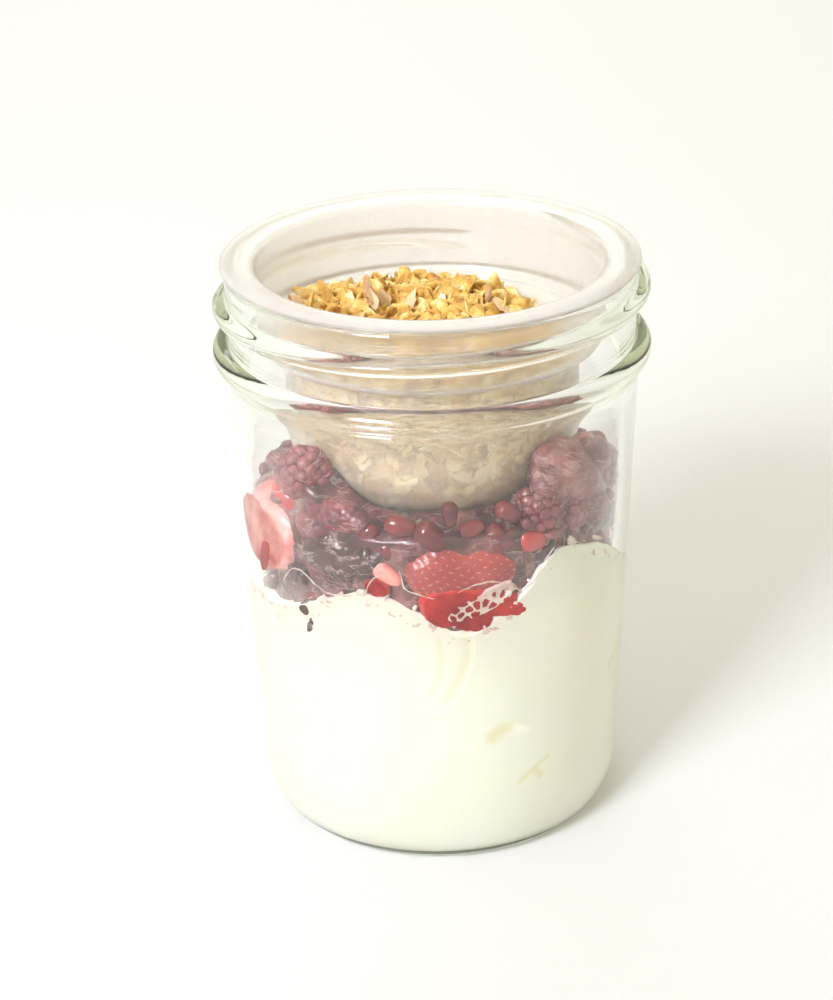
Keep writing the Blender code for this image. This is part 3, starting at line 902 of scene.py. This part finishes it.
def makeFruit():
    chance = random.Random(11)
    wet, dry = heap["wetGap"], heap["dryGap"]
    pulp = makeFruitSkin("fruit_pulp")
    finished("fruit_pulp", sleeve(pulpRings(), heap["pulpSegments"]), [pulp], ["berries"])

    def plain(name, places, wrinkle, gap, skin):
        fruit = bmesh.new()
        for index, (degrees, height, width, tall, depth, lean, tip) in enumerate(places):
            berry = wrinkledBerry(width * mm, tall * mm, Vector((0, index * 3.7, len(name))), wrinkle)
            gather(fruit, berry, setDown(degrees, height, depth, lean, tip))
        pressToGlass(fruit, gap)
        return finished(name, fruit, [skin])

    fruit, hairs = bmesh.new(), bmesh.new()
    for degrees, height, width, tall, depth, lean, tip in raspberries:
        place = setDown(degrees, height, depth, lean, tip)
        gather(fruit, raspberry(chance, width * mm, tall * mm), place)
        count = round(width * tall * raspberryForm["hairsPerArea"])
        gather(hairs, raspberryHairs(chance, width * mm, tall * mm, count), place)
    pressToGlass(fruit, dry)
    pressToGlass(hairs, dry)
    finished("raspberries", fruit, [makeFruitSkin("raspberry")])
    finished("raspberry_hairs", hairs, [makeFruitSkin("raspberry_hair")])

    fruit, pips = bmesh.new(), bmesh.new()
    for index, (degrees, height, width, tall, depth, lean, tip) in enumerate(strawberries):
        place = setDown(degrees, height, depth, lean, tip, 17 * index)
        seeds = seedDirections(round(width * tall * strawberryPits["seedsPerArea"]))
        gather(fruit, strawberry(width * mm, tall * mm, seeds, Vector((index * 5.3, 0, 0))), place)
        gather(pips, strawberrySeeds(chance, width * mm, tall * mm, seeds), place)
    pressToGlass(fruit, dry)
    pressToGlass(pips, dry)
    finished("strawberries", fruit, [makeFruitSkin("strawberry")])
    finished("strawberry_seeds", pips, [makeFruitSkin("strawberry_seed")])

    # how deep the skin's folds are in mm, and how far the fruit stays off the glass or goes into it
    plain("pale_fruit_pieces", paleFruit, 0.5, wet / 2, makeFruitSkin("pale_fruit"))
    plain("dusky_fruit_pieces", duskyFruit, 0.45, dry, makeFruitSkin("dusky_fruit"))
    darkSkin = makeFruitSkin("dark_berry")
    plain("dark_berries", darkBerries, 0.9, dry, darkSkin)
    plain("dark_bits", darkBits, 0.3, wet, darkSkin)
    plain("wet_fruit_pieces", wetFruit, 0.3, wet, makeFruitSkin("wet_fruit"))

    for name, places in (("dim_aril", dimArils), ("red_aril", redArils), ("pale_aril", paleArils)):
        fruit = bmesh.new()
        for degrees, height, length, depth, lean, tip in places:
            gather(fruit, aril(chance, length * mm), setDown(degrees, height, depth, lean, tip))
        pressToGlass(fruit, dry)
        finished(name + "s", fruit, [makeFruitSkin(name)])

    # loose drupelets lie between the bigger fruit, not inside it
    bigger = [(setDown(*spot[:2], spot[4]).translation, max(spot[2:4]) / 2 * mm)
              for spot in raspberries + strawberries + paleFruit + duskyFruit + darkBerries]
    fruit, drupelet = bmesh.new(), ball(2)
    for _ in range(heap["drupelets"]):
        degrees = chance.uniform(0, 360)
        low, high = yogurtEdge(degrees) / mm + 0.5, heapTop(degrees) / mm - 1.5
        place = setDown(degrees, chance.uniform(low, high), chance.uniform(1.2, 2.4))
        if any((place.translation - middle).length < reach for middle, reach in bigger):
            continue
        size = drawn(chance, heap["drupeletSize"])
        stretch = Matrix.Diagonal((size, size * chance.uniform(0.8, 1.5), size * chance.uniform(0.8, 1.5), 1))
        stamp(fruit, drupelet, place @ stretch)
    pressToGlass(fruit, dry)
    finished("loose_drupelets", fruit, [makeFruitSkin("loose_drupelet")])


# Some yogurt is smeared over the glass: fine threads, a net between drupelets, and streaks near its edge.
smear = {
    "segments": 1100,
    "low": -3.0 * mm,  # from under the yogurt's edge
    "high": 12.0 * mm,
    "underPulp": 5.0 * mm,  # and so far below the heap's top that the pulp hides the end
    "rings": 74,
    "out": 0.26 * mm,  # how far it goes into the glass where it shows
    "back": 3.2 * mm,  # how far behind the glass it lies elsewhere, inside the pulp
    "ends": (20 * mm, 44 * mm, 66 * mm),  # radius and heights where it closes, inside the yogurt and the pulp
    "threadWide": 0.15,  # half the width and depth of a thread, and the steps along it, in mm
    "threadDeep": 0.22,
    "threadStep": 0.3,
    "netSize": 0.5,
    "netLine": 0.3,
    "colours": ((0.72, 0.50, 0.47), (0.88, 0.80, 0.75)),
}
# paths of (degrees, mm)
smearThreads = [
    ((-141.7, 60.3), (-139.1, 63.0), (-135.0, 64.9), (-131.4, 64.1), (-127.8, 62.4), (-123.5, 61.2),
     (-117.7, 61.7), (-111.0, 62.8), (-110.2, 65.1), (-108.3, 67.0), (-106.5, 67.6)),
    ((-100.8, 69.1), (-100.0, 66.9), (-99.5, 64.8), (-96.3, 64.0), (-92.1, 63.1), (-85.7, 63.2),
     (-82.8, 64.6), (-78.1, 65.8), (-72.7, 65.9), (-68.4, 64.0), (-64.6, 62.6)),
    ((-64.6, 62.6), (-60.3, 63.9), (-58.3, 66.2), (-56.5, 68.6), (-53.5, 70.2)),
    ((-10, 58), (-4, 62), (4, 63), (11, 60)), ((84, 63), (92, 67), (101, 67.5), (108, 64)),
    ((132, 60), (138, 66), (146, 67), (152, 62)),
]
# (degrees, mm, half its width, half its height, slope)
smearNets = [(-76.5, 61.2, 7.2, 2.4, 0.38), (99, 65.0, 6.0, 2.6, -0.1)]


def smearCover(degrees, height):
    # how far in mm a spot is inside the smears; below 0 it is clear of them
    x, y = arcLength(degrees), height / mm
    over = y - yogurtEdge(degrees) / mm
    streaks = noise.noise(Vector((x * 0.5, y * 0.5, 0))) + 0.5 * noise.noise(Vector((x * 1.3, y * 1.3, 7)))
    cover = 1.1 * streaks - 0.35 - 0.22 * max(0.0, over)
    for middle, middleHeight, halfWide, halfTall, slope in smearNets:
        aside, above = x - arcLength(middle), y - middleHeight
        inside = 1 - math.hypot(aside / halfWide, (above - slope * aside) / halfTall)
        if inside > 0:
            gaps = noise.voronoi(Vector((x, y * 1.15, 0)) * smear["netSize"])[0]
            cover = min(inside * 3, smear["netLine"] - (gaps[1] - gaps[0]))
    return cover


def smearRings():
    def wall(share):
        def ring(degrees):
            edge = yogurtEdge(degrees)
            highest = min(edge + smear["high"], heapTop(degrees) - smear["underPulp"])
            height = between(edge + smear["low"], highest, share)
            shown = min(1.0, max(0.0, smearCover(degrees, height) / 0.1 + 0.5))
            return glassInside(degrees, height) + between(-smear["back"], smear["out"], shown), height
        return ring

    radius, low, high = smear["ends"]
    rings = [level(0, low), level(radius, low)]
    rings += [wall(step / smear["rings"]) for step in range(smear["rings"] + 1)]
    return rings + [level(radius, high), level(0, high)]


def softened(path):
    # the path with its corners cut off twice
    for _ in range(2):
        cut = [path[0]]
        for start, end in zip(path, path[1:]):
            cut += [tuple(between(a, b, share) for a, b in zip(start, end)) for share in (0.25, 0.75)]
        path = cut + [path[-1]]
    return path


def evenlyAlong(path, step):
    spots = []
    for (startTurn, startHeight), (endTurn, endHeight) in zip(path, path[1:]):
        count = max(1, round(math.hypot(arcLength(endTurn - startTurn), endHeight - startHeight) / step))
        spots += [(between(startTurn, endTurn, part / count), between(startHeight, endHeight, part / count))
                  for part in range(count)]
    return spots + [path[-1]]


def smearThread(path):
    # a fine thread over the inside of the glass, closed, and pointed at both ends
    spots = evenlyAlong(softened(path), smear["threadStep"])
    last = len(spots) - 1
    shape = bmesh.new()
    bmesh.ops.create_grid(shape, x_segments=8, y_segments=last, size=1)
    for vert in shape.verts:
        turn, step = math.pi * vert.co.x, round((vert.co.y + 1) / 2 * last)
        beforeTurn, beforeHeight = spots[max(0, step - 1)]
        afterTurn, afterHeight = spots[min(last, step + 1)]
        along = Vector((arcLength(afterTurn - beforeTurn), afterHeight - beforeHeight)).normalized()
        degrees, height = spots[step]
        spot = Vector((arcLength(degrees), height, 3))
        thick = min(1.0, step / 5, (last - step) / 5) ** 0.5 * (0.95 + 0.9 * noise.noise(spot * 0.8))
        aside = smear["threadWide"] * thick * math.cos(turn)
        degrees -= aside * along.y / wallPerDegree
        height = (height + aside * along.x + 0.25 * noise.noise(spot * 0.6)) * mm
        outward = smear["threadDeep"] * thick * math.sin(turn) * mm
        vert.co = polar(glassInside(degrees, height) + outward, degrees, height)
    bmesh.ops.remove_doubles(shape, verts=shape.verts, dist=0.001 * mm)
    bmesh.ops.recalc_face_normals(shape, faces=shape.faces)
    return shape


def makeSmears():
    material, tree, shader = principled("smeared_yogurt")
    dark, light = smear["colours"]
    colour = ramp(tree, grain(tree, 260, detail=4), [(0.35, dark), (0.65, light)])
    tree.links.new(colour, shader.inputs["Base Color"])
    setSockets(shader, {"Roughness": 0.3})
    bumped(tree, shader, grain(tree, 500, detail=3), 0.04 * mm)
    finished("yogurt_smears", sleeve(smearRings(), smear["segments"]), [material])
    threads = bmesh.new()
    for path in smearThreads:
        gather(threads, smearThread(path), Matrix())
    finished("yogurt_threads", threads, [material])


# The granola is toasted rolled oats and sliced almonds over a core, up against the cup's wall.
granola = {
    "level": 103.0 * mm,
    "mound": 3.8 * mm,
    "swells": ((5, -5.5, 38), (-100, 0.5, 50), (172, 3.0, 50)),
    "coreDepth": 2.4 * mm,
    "oatsInWell": 1400,
    "oatsOnTop": 1000,
    "almondsInWell": 60,
    "almondsOnTop": 22,
    "flakeScale": 1.2,  # of the flakes on top
    "coreAside": 0.6,  # the share of its depth that the core keeps off the well's wall
    "coreSegments": 200,
    "coreRings": (34, 20),  # how many up its side and over its top
    "coreLumps": (0.9 * mm, 3 * mm),  # their height and their length
    "coreGrit": (0.5 * mm, 1.3 * mm),
    "oatLong": (1.5, 3.4),  # half the length, width and thickness of a flake, and its bend, in mm
    "oatWide": (1.0, 2.1),
    "oatThick": (0.16, 0.36),
    "oatBend": (-0.7, 0.7),
    "almondThick": (0.5, 0.9),  # a slice's whole thickness
    "almondLong": (1.8, 3.3),
    "almondWide": (1.1, 1.9),
    "almondBend": (-0.4, 0.4),
    "oatDepth": (0.8, 2.2),  # how far behind the well's wall, in mm
    "almondDepth": (1.0, 2.0),
    "oatLift": (-1.8, 1.1),  # how far over the top of the heap, in mm
    "almondLift": (-1.0, 0.8),
    "tilts": (26, 55, 45),  # in degrees, of what lies in the well, of oats on top and of slices on top
    "oatStops": [(0.3, (0.30, 0.12, 0.02)), (0.43, (0.58, 0.32, 0.06)), (0.55, (0.76, 0.50, 0.13)),
                 (0.7, (0.92, 0.77, 0.42))],
    "wellStops": [(0.3, (0.56, 0.31, 0.10)), (0.48, (0.85, 0.60, 0.26)), (0.68, (0.96, 0.83, 0.54))],
    "coreStops": [(0.3, (0.40, 0.20, 0.06)), (0.7, (0.74, 0.49, 0.22))],
    "fleshStops": [(0.3, (0.72, 0.50, 0.26)), (0.7, (0.89, 0.75, 0.53))],
    "skinStops": [(0.3, (0.34, 0.14, 0.06)), (0.7, (0.62, 0.36, 0.17))],
}
standingSlices = [  # (x, y, z) in mm, turn and lean in degrees
    (-13.0, 4.0, 111.2, 66, -8), (-11.6, 4.6, 109.4, -35, 12), (11.5, 7.5, 108.2, 66, 8),
    (2.0, 4.0, 107.2, -35, -38),
]


def granolaTop(share, degrees):
    middle, edge = granola["mound"], swell(degrees, granola["swells"])
    return granola["level"] + middle * (1 - share ** 2) + edge * share ** 2


def coreRings():
    depth = granola["coreDepth"]
    aside = depth * granola["coreAside"]

    def rough(point):
        (lumpHeight, lumpLength), (gritHeight, gritLength) = granola["coreLumps"], granola["coreGrit"]
        return lumpHeight * noise.noise(point / lumpLength) + gritHeight * noise.noise(point / gritLength)

    def wall(height):
        def ring(degrees):
            radius = wellRadius(height) - aside
            return radius + rough(polar(radius, degrees, height)), height
        return ring

    def top(share):
        def ring(degrees):
            height = granolaTop(share, degrees) - depth
            radius = share * (wellRadius(height) - aside)
            return radius, height + rough(polar(radius, degrees, 0))
        return ring

    floor = cupLow + cup["wall"] + 0.5 * mm
    rings = [level(0, floor), level(8 * mm, floor), level(14 * mm, floor)]
    low, high = floor + 1.0 * mm, granola["level"] - 7 * mm
    upSide, over = granola["coreRings"]
    rings += [wall(between(low, high, step / upSide)) for step in range(upSide + 1)]
    rings += [top(1 - step / over) for step in range(over + 1)]
    return rings


def oatFlake(chance, segments, rings):
    # a rolled oat: a thin oval flake with a crease along it and a ragged, wavy edge
    shape = bmesh.new()
    bmesh.ops.create_uvsphere(shape, u_segments=segments, v_segments=rings, radius=1)
    long, wide = drawn(chance, granola["oatLong"]), drawn(chance, granola["oatWide"])
    thick, bend = drawn(chance, granola["oatThick"]), drawn(chance, granola["oatBend"])
    offset = Vector((chance.uniform(0, 50), chance.uniform(0, 50), 0))
    for vert in shape.verts:
        x, y, z = vert.co
        broad = 0.38 * noise.noise(Vector((x, y, 0)) * 1.9 + offset)
        edge = 1 + broad + 0.35 * noise.noise(Vector((x, y, 5)) * 4.5 + offset)
        wave = 0.45 * mm * noise.noise(Vector((x, y, 3)) * 1.7 + offset)
        crease = -0.2 * mm * math.exp(-((y / 0.3) ** 2)) if z > 0 else 0
        rise = math.copysign(abs(z) ** 0.6, z) * thick + crease + wave + bend * (x ** 2 - 0.4)
        vert.co = Vector((x * long * edge, y * wide * edge, rise))
    return shape


def almondSlice(chance):
    # a thin slice across an almond: pale flat faces and a brown skin round the edge
    shape = bmesh.new()
    bmesh.ops.create_circle(shape, cap_ends=True, segments=18, radius=1)
    raised = bmesh.ops.extrude_face_region(shape, geom=shape.faces[:])["geom"]
    thick = drawn(chance, granola["almondThick"])
    long, wide = drawn(chance, granola["almondLong"]), drawn(chance, granola["almondWide"])
    bend = drawn(chance, granola["almondBend"])
    offset = Vector((chance.uniform(0, 50), chance.uniform(0, 50), 0))
    upper = {vert for vert in raised if isinstance(vert, bmesh.types.BMVert)}
    for vert in shape.verts:
        x, y = vert.co.x, vert.co.y
        narrowed = 1 - 0.42 * max(0.0, x) ** 2
        broken = 1 + 0.45 * noise.noise(Vector((x, y, 0)) * 1.7 + offset)
        rise = (thick if vert in upper else 0) + bend * x * x
        vert.co = Vector((x * long * broken, y * wide * narrowed * broken, rise))
    bmesh.ops.recalc_face_normals(shape, faces=shape.faces)
    for face in shape.faces:
        face.material_index = 1 if len(face.verts) == 4 else 0
    return shape


def inWell(chance, depth):
    # a flake lying against the well's wall, at random up and down it
    height = between(cupLow + 4 * mm, granola["level"] + 1 * mm, chance.random() ** 0.9)
    degrees = chance.uniform(0, 360)
    height = min(height, granolaTop(1, degrees) - 0.5 * mm)
    slope = math.atan2(wellRadius(height) - wellRadius(height - 1 * mm), 1 * mm)
    spot = polar(wellRadius(height) - depth, degrees, height)
    outward = polar(math.cos(slope), degrees, -math.sin(slope))
    return placed(chance, spot, outward, granola["tilts"][0])


def onTop(chance, lift, tilt):
    degrees, share = chance.uniform(0, 360), chance.random() ** 0.5 * 0.95
    height = granolaTop(share, degrees)
    spot = polar(share * (wellRadius(height) - 3 * mm), degrees, height + lift)
    return placed(chance, spot, Vector((0, 0, 1)), tilt)


def placed(chance, spot, outward, tilt):
    facing = outward.to_track_quat("Z", "Y").to_matrix().to_4x4()
    lean, tip = chance.gauss(0, tilt), chance.gauss(0, tilt)
    turned = Euler((math.radians(lean), math.radians(tip), 0)).to_matrix().to_4x4()
    return Matrix.Translation(spot) @ facing @ turned @ Matrix.Rotation(chance.uniform(0, math.tau), 4, "Z")


def keepInWell(shape):
    for vert in shape.verts:
        radius, degrees, height = radiusOf(vert.co), degreesOf(vert.co), vert.co.z
        most = wellRadius(height) - 0.12 * mm
        if radius > most:
            vert.co = polar(most, degrees, height)


def makeToasted(name, stops, scale=150, roughness=0.6, relief=0.15):
    material, tree, shader = principled(name)
    tree.links.new(ramp(tree, grain(tree, scale, detail=6), stops), shader.inputs["Base Color"])
    setSockets(shader, {"Roughness": roughness, "Subsurface Weight": 0.12,
                        "Subsurface Radius": (1.0, 0.6, 0.3), "Subsurface Scale": 0.8 * mm})
    bumped(tree, shader, grain(tree, 900, detail=4), relief * mm)
    return material


def makeGranola():
    chance = random.Random(5)
    oatTilt, sliceTilt = granola["tilts"][1:]
    core = makeToasted("granola_core", granola["coreStops"], scale=220, relief=0.4)
    finished("granola_core", sleeve(coreRings(), granola["coreSegments"]), [core], ["granola"])

    flakes = bmesh.new()
    for _ in range(granola["oatsInWell"]):
        gather(flakes, oatFlake(chance, 11, 4), inWell(chance, drawn(chance, granola["oatDepth"])))
    keepInWell(flakes)
    finished("oats_in_cup", flakes, [makeToasted("oat_in_cup", granola["wellStops"], scale=240)])
    flakes, larger = bmesh.new(), Matrix.Scale(granola["flakeScale"], 4)
    for _ in range(granola["oatsOnTop"]):
        flake = oatFlake(chance, 14, 5)
        gather(flakes, flake, onTop(chance, drawn(chance, granola["oatLift"]), oatTilt) @ larger)
    keepInWell(flakes)
    finished("oats_on_top", flakes, [makeToasted("oat", granola["oatStops"], scale=300)])

    slices = bmesh.new()
    for _ in range(granola["almondsInWell"]):
        gather(slices, almondSlice(chance), inWell(chance, drawn(chance, granola["almondDepth"])))
    for _ in range(granola["almondsOnTop"]):
        gather(slices, almondSlice(chance), onTop(chance, drawn(chance, granola["almondLift"]), sliceTilt))
    for x, y, z, turn, lean in standingSlices:
        upright = Euler((math.radians(90 + lean), 0, math.radians(turn))).to_matrix().to_4x4()
        place = Matrix.Translation(Vector((x, y, z)) * mm) @ upright @ Matrix.Rotation(math.pi / 2, 4, "Z")
        gather(slices, almondSlice(chance), place)
    keepInWell(slices)
    flesh = makeToasted("almond", granola["fleshStops"], scale=180, roughness=0.5)
    skin = makeToasted("almond_skin", granola["skinStops"], scale=200)
    piece = finished("sliced_almonds", slices, [flesh, skin])
    piece.data.set_sharp_from_angle(angle=math.radians(40))


# The stage is a pale floor under soft light from the left and behind.
camera = {
    "place": Vector((0, -441.0, 276.4)) * mm,
    "down": 0.4455,  # radians
    "left": -0.0088,
    "roll": -0.0247,
    "lens": 84.2,
}


def makeCamera():
    data = bpy.data.cameras.new("camera")
    data.lens = camera["lens"]
    data.clip_start = 10 * mm
    eye = bpy.data.objects.new("camera", data)
    bpy.context.scene.collection.objects.link(eye)
    aim = Matrix.Rotation(-camera["left"], 4, "Z") @ Matrix.Rotation(math.pi / 2 - camera["down"], 4, "X")
    eye.matrix_world = Matrix.Translation(camera["place"]) @ aim @ Matrix.Rotation(camera["roll"], 4, "Z")
    bpy.context.scene.camera = eye


studio = {
    "sky": (1.0, 0.95, 0.79),
    "skyStrength": 1.0,
    "keyTurn": 235.0,  # degrees round the jar
    "keyRise": 35.0,
    "keyDistance": 1.5,
    "keySize": 0.45,
    "keyPower": 2.8,
    "keySpread": 60.0,
    "keyAim": Vector((-0.17, 0.03, 0.05)),
    "keyColour": (0.94, 0.98, 1.12),
    "backPlace": Vector((-0.15, 1.0, 0.8)),
    "backAim": Vector((-0.1, 0.75, 0.0)),
    "backSize": 0.8,
    "backPower": 3.6,
    "floor": (0.66, 0.655, 0.65),
    "floorSize": 4.0,
    "floorBelow": 0.05 * mm,
}


def makeSoftbox(name, place, aim, size, power, spread=180.0):
    light = bpy.data.lights.new(name, "AREA")
    light.size = size
    light.spread = math.radians(spread)
    light.energy = power
    light.color = studio["keyColour"]
    lamp = bpy.data.objects.new(name, light)
    bpy.context.scene.collection.objects.link(lamp)
    lamp.location = place
    lamp.rotation_euler = (aim - place).to_track_quat("-Z", "Y").to_euler()


def makeStudio():
    world = bpy.data.worlds.new("studio")
    bpy.context.scene.world = world
    world.use_nodes = True
    background = world.node_tree.nodes["Background"]
    setSockets(background, {"Color": (*studio["sky"], 1), "Strength": studio["skyStrength"]})
    rise, away = math.radians(studio["keyRise"]), studio["keyDistance"]
    keyPlace = polar(math.cos(rise) * away, studio["keyTurn"], math.sin(rise) * away)
    makeSoftbox("key", keyPlace, studio["keyAim"], studio["keySize"], studio["keyPower"], studio["keySpread"])
    makeSoftbox("back", studio["backPlace"], studio["backAim"], studio["backSize"], studio["backPower"])

    shape = bmesh.new()
    bmesh.ops.create_grid(shape, x_segments=8, y_segments=8, size=studio["floorSize"])
    mesh = bpy.data.meshes.new("floor")
    shape.to_mesh(mesh)
    shape.free()
    material, _, shader = principled("floor_paper")
    setSockets(shader, {"Base Color": (*studio["floor"], 1), "Roughness": 0.8, "Specular IOR Level": 0.2})
    mesh.materials.append(material)
    floor = bpy.data.objects.new("floor", mesh)
    floor.location.z = -studio["floorBelow"]
    bpy.context.scene.collection.objects.link(floor)

    scene = bpy.context.scene
    scene.view_settings.view_transform = "Standard"
    scene.cycles.max_bounces = 20
    scene.cycles.transmission_bounces = 16
    scene.cycles.glossy_bounces = 18
    scene.cycles.diffuse_bounces = 4
    scene.cycles.blur_glossy = 0.0  # what stands in the glass is lit through its polish
    scene.cycles.sample_clamp_indirect = 60.0


makeCamera()
makeStudio()
print("stage ready")
makeJar(makeGlass())
makeYogurt(makeYogurtSkin())
print("glass and yogurt ready")
makeCup(makeMilkyPlastic())
makeFruit()
makeSmears()
print("cup and fruit ready")
makeGranola()
print("granola ready")
